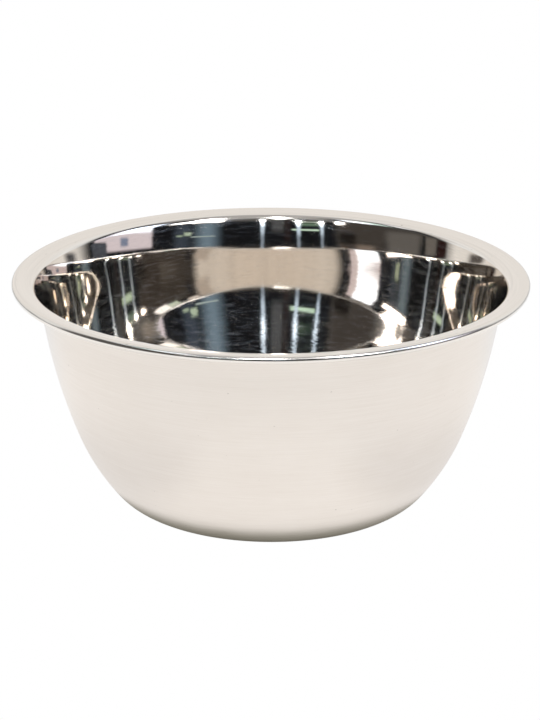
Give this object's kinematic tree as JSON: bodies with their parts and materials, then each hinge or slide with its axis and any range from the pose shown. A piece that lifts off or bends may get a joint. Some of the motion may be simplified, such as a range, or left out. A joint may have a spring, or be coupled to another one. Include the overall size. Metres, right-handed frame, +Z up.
{
  "type": "mixing bowl",
  "caption": "Round stainless steel mixing bowl with a flat base, a bellied tapering wall, and a wide rising flange that ends in a curled edge, for holding and mixing ingredients.",
  "frame": {"origin": "centre of the base's underside, on the bowl's axis, where it rests", "axes": "+Z up along the bowl's axis of revolution, out of the mouth; X and Y are equal because the bowl is round"},
  "size_m": [0.264, 0.264, 0.1193],
  "materials": {
    "stainless_steel": "mirror-polished inside and on the rim, satin with fine turning lines outside"
  },
  "bodies": {
    "root": {"bowl_shell": "stainless_steel"}
  },
  "joints": []
}
